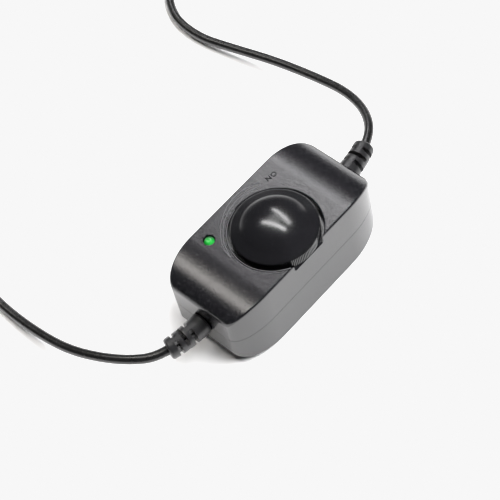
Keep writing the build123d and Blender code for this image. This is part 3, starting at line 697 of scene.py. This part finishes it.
topCover = twin(outer, "topCover")
cutAt(topCover, (0, 0, parting), (0, 0, 1), clear_inner=True)
carve(topCover, twin(cavity, "room"))
lowBoss, highBoss = housing["bosses"]
boss = atCorners(housing["screws"], lambda spot: rod(highBoss, parting, housing["bossTop"], spot, 48))
carve(topCover, boss, "UNION")
grooveOuter, grooveInner, grooveHeight = housing["groove"]
carve(topCover, outlineRing(grooveOuter, grooveInner, parting - 0.0005, parting + grooveHeight))
seamHeight, seamDepth = housing["seam"]
carve(topCover, outlineRing(-housing["wall"], seamDepth, parting - 0.0005, parting + seamHeight))
pilot, pilotTop = housing["pilot"]
carve(topCover, atCorners(housing["screws"], lambda spot: rod(pilot, 0.01, pilotTop, spot, 32)))
carve(topCover, rod(recess["radius"], recess["z"], above, recessAt, 256))
wide, lean = recess["rim"]
slope = math.tan(math.radians(lean))
rimLow, rimHigh = housing["height"] - (wide + 0.0001) * slope, housing["height"] + 0.0003 * slope
rim = rod(recess["radius"] - 0.0001, rimLow, rimHigh, recessAt, 256, recess["radius"] + wide + 0.0003)
carve(topCover, rim)
sillLength, sillSide = recess["sill"]
sill = block((sillLength, sillSide, sillSide), (0, 0, 0))
sill.rotation_euler, sill.location = (math.pi / 4, 0, 0), (0, -housing["halfWidth"], recess["z"])
carve(topCover, settle(sill))
carve(topCover, rod(recess["hole"], 0.02, 0.03, recessAt, 96))
carve(topCover, rod(housing["lampHole"], 0.02, above, lamp["centre"], 96))
carve(topCover, twin(bootHole, "hole"))
finished(topCover, "housing", "housing_plastic", housingPlastic, "top_cover")
print("top cover", len(topCover.data.vertices))

bottomCover = twin(outer, "bottomCover")
cutAt(bottomCover, (0, 0, parting), (0, 0, 1), clear_outer=True)
carve(bottomCover, twin(cavity, "room"))
boss = atCorners(housing["screws"], lambda spot: rod(lowBoss, -0.001, parting, spot, 72))
midWall = housingForm(housing["wall"] / 2)  # bosses and posts end inside the wall
carve(bottomCover, carve(boss, twin(midWall, "inside"), "INTERSECT"), "UNION")
postX, postY, postRadius, postTop = housing["posts"]
pegRadius, pegTop = housing["pegs"]
posts = atCorners((postX, postY), lambda spot: rod(postRadius, -0.001, postTop, spot, 52))
carve(posts, atCorners((postX, postY), lambda spot: rod(pegRadius, 0.004, pegTop, spot, 32)), "UNION")
carve(bottomCover, carve(posts, midWall, "INTERSECT"), "UNION")
lipOuter, lipInner, lipBelow, lipAbove = housing["lip"]
carve(bottomCover, outlineRing(lipOuter, lipInner, parting - lipBelow, parting + lipAbove), "UNION")
headHole, seat, shankHole = housing["screwHole"]
carve(bottomCover, atCorners(housing["screws"], lambda spot: rod(headHole, -0.002, seat, spot, 72)))
carve(bottomCover, atCorners(housing["screws"], lambda spot: rod(shankHole, 0.005, 0.016, spot, 48)))
carve(bottomCover, bootHole)
finished(bottomCover, "housing", "housing_plastic", housingPlastic, "bottom_cover")
for spare in (outer, cavity):
    bpy.data.objects.remove(spare)
print("bottom cover", len(bottomCover.data.vertices))


# the domed, knurled knob
knob = {
    "y": -0.00315,
    "foot": 0.0260,
    "rim": 0.02985,
    "top": 0.0342,
    "radius": 0.01385,
    "teeth": 150,
    "tooth": 0.0004,
    "cap": 0.0106,  # reach of the ball-shaped middle
    "sphere": 0.020912,
    "wall": 0.0018,
    "hollow": 0.0115,
    "boss": (0.0050, 0.0286),  # radius, foot
    "bore": (0.00303, 0.0321),  # radius, top
    "edge": 0.00012,
    "footEdge": 0.0003,
    "over": 0.036,  # clear of the top
}
knobAt = (0, knob["y"])


def ball(radius, height):
    bpy.ops.mesh.primitive_uv_sphere_add(
        segments=240, ring_count=160, radius=radius, location=(*knobAt, height),
    )
    return settle(named("ball"))


def turned(outline):  # reaches and heights, turned round the knob's axis
    line = bpy.data.curves.new("outline", "CURVE")
    line.dimensions = "3D"
    path = line.splines.new("POLY")
    path.points.add(len(outline) - 1)
    for point, (reach, height) in zip(path.points, outline):
        point.co = (reach, 0, height, 1)
    piece = bpy.data.objects.new("outline", line)
    bpy.context.collection.objects.link(piece)
    grab(piece)
    bpy.ops.object.convert(target="MESH")
    piece = named("turned")
    spin = piece.modifiers.new("spin", "SCREW")
    spin.steps = spin.render_steps = 256
    spin.use_merge_vertices, spin.merge_threshold = True, 0.000001
    bpy.ops.object.modifier_apply(modifier=spin.name)
    piece.location = (*knobAt, 0)
    settle(piece)
    pickPoints(piece, lambda point: True)
    bpy.ops.mesh.normals_make_consistent(inside=False)
    done()
    return piece


dimmerKnob = rod(knob["radius"], knob["foot"] - 0.0005, knob["over"], knobAt, 4 * knob["teeth"])
step = math.pi / knob["teeth"] / 2


def inDip(point):  # every fourth point round the rim
    bearing = math.atan2(point.co.y - knob["y"], point.co.x)
    return round(bearing / step - toothTurn) % 4 == 2


first = dimmerKnob.data.vertices[0].co
toothTurn = math.atan2(first.y - knob["y"], first.x) / step
shrink = 1 - knob["tooth"] / knob["radius"]
pickPoints(dimmerKnob, inDip)
bpy.ops.transform.resize(value=(shrink, shrink, 1), center_override=(*knobAt, 0))
done()
middle = knob["top"] - knob["sphere"]
lean = math.asin(knob["cap"] / knob["sphere"])
brim = middle + knob["sphere"] * math.cos(lean)
fall = (brim - knob["rim"]) / (knob["radius"] - knob["cap"])
past = knob["radius"] + 0.0016  # clear of the teeth
brimReach, brimFoot = knob["radius"] - knob["edge"], knob["rim"] + knob["edge"] * fall
dome = [
    (0, knob["foot"]),
    (knob["radius"] - knob["footEdge"], knob["foot"]),
    (past, knob["foot"] + past - knob["radius"] + knob["footEdge"]),
    (past, brimFoot - past + brimReach),
]
dome += [
    (brimReach + (knob["cap"] - brimReach) * part / 8, brimFoot + (brim - brimFoot) * part / 8)
    for part in range(8)
]
dome += [
    (knob["sphere"] * math.sin(lean * part / 40), middle + knob["sphere"] * math.cos(lean * part / 40))
    for part in range(40, 0, -1)
]
carve(dimmerKnob, turned(dome + [(0, knob["top"])]), "INTERSECT")
hollow = rod(knob["hollow"], knob["foot"] - 0.001, knob["over"], knobAt, 128)
hollow = carve(hollow, ball(knob["sphere"] - knob["wall"], middle), "INTERSECT")
hollow = carve(hollow, rod(knob["boss"][0], knob["boss"][1], knob["over"], knobAt, 72))
carve(dimmerKnob, hollow)
carve(dimmerKnob, rod(knob["bore"][0], 0.02, knob["bore"][1], knobAt, 72))
dimmerKnob.name = dimmerKnob.data.name = "dimmerKnob"
finished(dimmerKnob, "knob", "knob_plastic", knobPlastic, "dimmer_knob", angle=35)
print("knob", len(dimmerKnob.data.vertices))


# the green lamp
flangeRadius, flangeLow, flangeHigh = lamp["flange"]
lampLens = rod(lamp["radius"], flangeLow, lamp["top"], lamp["centre"], 96)
pickEdges(lampLens, lambda spot: spot.z > lamp["top"] - 1e-5)
bpy.ops.mesh.bevel(offset=lamp["round"], segments=14, affect="EDGES")
done()
carve(lampLens, rod(flangeRadius, flangeLow, flangeHigh, lamp["centre"], 96), "UNION")
lampLens.name = lampLens.data.name = "lampLens"
finished(lampLens, "housing", "lamp_green", lampGreen, "indicator_led")
print("lamp made")


# marks moulded on the top, with a painted highlight line on the recess's edge and painted shade on the ON
# letters
marks = {
    "proud": 0.00006,
    "letter": 0.0024,
    "letterEdge": 0.00003,
    "on": (0.0140, 0.0111, 172),  # place and degrees
    "off": (-0.0139, -0.0126, 128),
    "line": 0.00011,  # thickness of the wedge's line
    "rim": (98, 240, 0.01516, 0.00012),  # painted highlight along the recess's edge, a pale line on part of the rim: from, to, reach, thickness
    "wedge": [  # degrees round the knob, inner and outer reach
        (165, 0.0163, 0.0164), (155, 0.0162, 0.0167), (140, 0.0163, 0.0171), (118, 0.0166, 0.0175),
        (98, 0.0169, 0.0182), (82, 0.0170, 0.01845), (70, 0.0171, 0.01845), (60, 0.0171, 0.01845),
        (57, 0.0171, 0.01845),
    ],
}

# painted shade: the ON letters are the housing's moulded plastic, coloured darker than it to stand in for
# their shading
paintedShadeMark = Finish("paintedShadeMark", (0.003, 0.003, 0.003), 0.6, Specular_IOR_Level=0.15)
paintedShadeMark.set("Roughness", 0.55 + 0.1 * paintedShadeMark.noise(900))
# painted highlight: a pale colour for the lines; the wedge line is a real raised line whose highlight is
# painted, the recess-edge line is only a painted highlight
paleHighlightPaint = Finish("paleHighlightPaint", (0.09, 0.09, 0.095), 0.4)
paleHighlightPaint.set("Roughness", 0.35 + 0.1 * paleHighlightPaint.noise(900))


def word(letters, name, x, y, degrees, finish):
    bpy.ops.object.text_add()
    piece = named(name)
    piece.data.body, piece.data.size, piece.data.space_character = letters, marks["letter"], 1.2
    piece.data.align_x, piece.data.align_y = "CENTER", "CENTER"
    piece.data.extrude = marks["proud"] / 2
    piece.data.bevel_depth, piece.data.bevel_resolution = marks["letterEdge"], 1
    bpy.ops.object.convert(target="MESH")
    piece = named(name)
    piece.location = (x, y, housing["height"] + marks["proud"] / 4)
    piece.rotation_euler = (0, 0, math.radians(degrees))
    settle(piece)
    sleekNormals(piece)
    wear(piece, finish)
    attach(piece, "housing")


# the ON letters are coloured darker as painted shade; OFF keeps the housing's plastic
word("ON", "onMark", *marks["on"], paintedShadeMark)
word("OFF", "offMark", *marks["off"], housingPlastic)


def trace(name, reaches, thick, closed):  # a raised line of (degrees, reach) round the knob
    path = bpy.data.curves.new(name, "CURVE")
    path.dimensions = "3D"
    line = path.splines.new("NURBS")
    line.points.add(len(reaches) - 1)
    for point, (degrees, reach) in zip(line.points, reaches):
        bearing = math.radians(degrees)
        across, along = reach * math.cos(bearing), reach * math.sin(bearing)
        point.co = (across, knob["y"] + along, housing["height"], 1)
    line.order_u, line.use_cyclic_u, line.use_endpoint_u = 3, closed, not closed
    path.resolution_u, path.bevel_depth, path.bevel_resolution = 8, thick, 2
    path.use_fill_caps = True
    piece = bpy.data.objects.new(name, path)
    bpy.context.collection.objects.link(piece)
    grab(piece)
    bpy.ops.object.convert(target="MESH")
    piece = named(name)
    sleekNormals(piece)
    # every traced line wears the pale painted-highlight colour
    wear(piece, paleHighlightPaint)
    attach(piece, "housing")


there = [(degrees, near) for degrees, near, far in marks["wedge"]]
andBack = [(degrees, far) for degrees, near, far in marks["wedge"][::-1]]
trace("wedgeMark", there + andBack, marks["line"], True)
# the rim line is not a moulded mark: it is a painted highlight on the recess's edge
low, high, reach, thick = marks["rim"]
trace("rimPaintedHighlight", [(low + (high - low) * part / 12, reach) for part in range(13)], thick, False)
print("marks made")


# finishes of the parts that stay as the CAD has them
dressed = {
    platedSteel: [
        "housing_screws", "pot_washer", "pot_nut", "pot_case", "pot_shaft", "transistor_tab",
        "timer_chip_legs", "led_leads",
    ],
    brass: ["pot_bushing", "pot_terminals"],
    phenolic: ["pot_wafer", "pot_switch", "pot_wiper"],
    boardLaminate: ["circuit_board"],
    capacitorSleeve: ["filter_capacitor"],
    componentBlack: ["power_transistor", "timer_chip", "diode"],
    resistorTan: ["resistors"],
    discCeramic: ["disc_capacitors"],
    wireRed: ["input_wire_positive", "output_wire_positive"],
    wireBlack: ["input_wire_negative", "output_wire_negative"],
    nickel: ["output_plug_barrel", "output_plug_contact", "input_socket_liner", "input_socket_pin"],
    insulatorBlack: ["output_plug_insulator"],
}
for finish, nodes in dressed.items():
    for node in nodes:
        wear(frame["nodes"][node], finish)
print("CAD parts dressed")


# floor, lights and room
studio = {
    "floor": 0.25,
    "strips": [  # place, turn, size, power, colour, and whether it lights the knob or the rest
        ((0.753, 0.547, 1.03), 72.65, (1.12, 0.09), 8.4, (1, 1, 1), "knob"),
        ((0.236, 0.364, 1.03), 101.5, (0.85, 0.09), 6.4, (1, 1, 1), "knob"),
        ((0.470, 0.500, 1.02), 87.0, (0.45, 0.40), 1.6, (1, 1, 1), "knob"),
        ((0.560, 0.593, 1.03), 80.0, (1.12, 0.13), 6.9, (0.99, 0.98, 1), "rest"),
        ((-0.190, 0.535, 1.03), 90.0, (1.12, 0.18), 6.9, (1, 0.965, 0.92), "rest"),
    ],
    "fill": ((0.8, -0.8, 1.9), (1.8, 1.8), 150.0),  # place, size, power
    "room": 0.02,  # the room's own light
    "skyline": 2.6,  # the bright band behind the part
    "page": 0.93,  # linear value of the blank background
}
bpy.ops.mesh.primitive_circle_add(
    vertices=128, radius=studio["floor"], fill_type="NGON", location=(0, 0, -0.00002),
)
floor = settle(named("floor"))
paper = Finish("paper", (0.85, 0.85, 0.86), 0.9, Specular_IOR_Level=0.0)
fibre = paper.noise(30, 3.0, 0.5)
paper.set("Base Color", paper.blend(fibre, (0.845, 0.845, 0.85, 1), (0.86, 0.86, 0.865, 1)))
wear(floor, paper)
floor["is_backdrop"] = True

receivers = {}
others = [piece for piece in bpy.context.scene.objects if piece is not dimmerKnob]
for name, pieces in (("knob", [dimmerKnob]), ("rest", others)):
    receivers[name] = bpy.data.collections.new(name + "Lit")
    for piece in pieces:
        if piece.type in ("MESH", "CURVE"):
            receivers[name].objects.link(piece)
for place, heading, (long, wide), power, colour, lit in studio["strips"]:
    bpy.ops.object.light_add(type="AREA", location=place, rotation=(0, 0, math.radians(heading)))
    strip = bpy.context.active_object
    strip.name = strip.data.name = "ceilingStrip"
    strip.data.shape, strip.data.size, strip.data.size_y = "RECTANGLE", long, wide
    strip.data.energy, strip.data.color = power, colour
    strip.light_linking.receiver_collection = receivers[lit]
place, (long, wide), power = studio["fill"]
bpy.ops.object.light_add(type="AREA", location=place)
fill = bpy.context.active_object
fill.name = fill.data.name = "softFill"
fill.rotation_euler = Vector(place).to_track_quat("Z", "Y").to_euler()
fill.data.shape, fill.data.size, fill.data.size_y = "RECTANGLE", long, wide
fill.data.energy, fill.visible_glossy = power, False

world = bpy.data.worlds.new("room")
bpy.context.scene.world = world
world.use_nodes = True
tree = world.node_tree
tree.nodes.clear()


def worldNode(kind, **settings):
    node = tree.nodes.new("ShaderNode" + kind)
    for key, value in settings.items():
        setattr(node, key, value)
    return node


where = worldNode("TexCoord")
split = worldNode("SeparateXYZ")
tree.links.new(where.outputs["Generated"], split.inputs[0])
rise = Flow(tree, split.outputs["Z"])
away = math.radians(view["azimuth"])
facing = Flow(tree, split.outputs["X"]) * -math.sin(away) + Flow(tree, split.outputs["Y"]) * math.cos(away)


def fade(value, low, high):
    node = worldNode("MapRange", interpolation_type="SMOOTHSTEP")
    tree.links.new(value.socket, node.inputs["Value"])
    node.inputs["From Min"].default_value, node.inputs["From Max"].default_value = low, high
    return Flow(tree, node.outputs["Result"])


band = (1 - fade(rise + facing * 1.217, 1.13, 1.28)) * fade(facing, 0.60, 0.78)
strength = studio["room"] + band * studio["skyline"]
seen = Flow(tree, worldNode("LightPath").outputs["Is Camera Ray"])
strength = seen * 1.2 + (1 - seen) * strength
air = worldNode("Background")
air.inputs["Color"].default_value = (1, 1, 1, 1)
tree.links.new(strength.socket, air.inputs["Strength"])
tree.links.new(air.outputs[0], worldNode("OutputWorld").inputs[0])

# the page clips to a pale grey
look = bpy.context.scene.view_settings
look.view_transform, look.look, look.exposure, look.gamma = "Standard", "None", 0, 1
look.use_curve_mapping = True
curve = look.curve_mapping
curve.extend = "HORIZONTAL"
points = curve.curves[3].points
points[1].location = (1.0, studio["page"])
points.new(studio["page"], studio["page"])
for point in points:
    point.handle_type = "VECTOR"
curve.update()
print("studio ready")

low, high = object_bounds()
print("visual box", list(low), list(high))
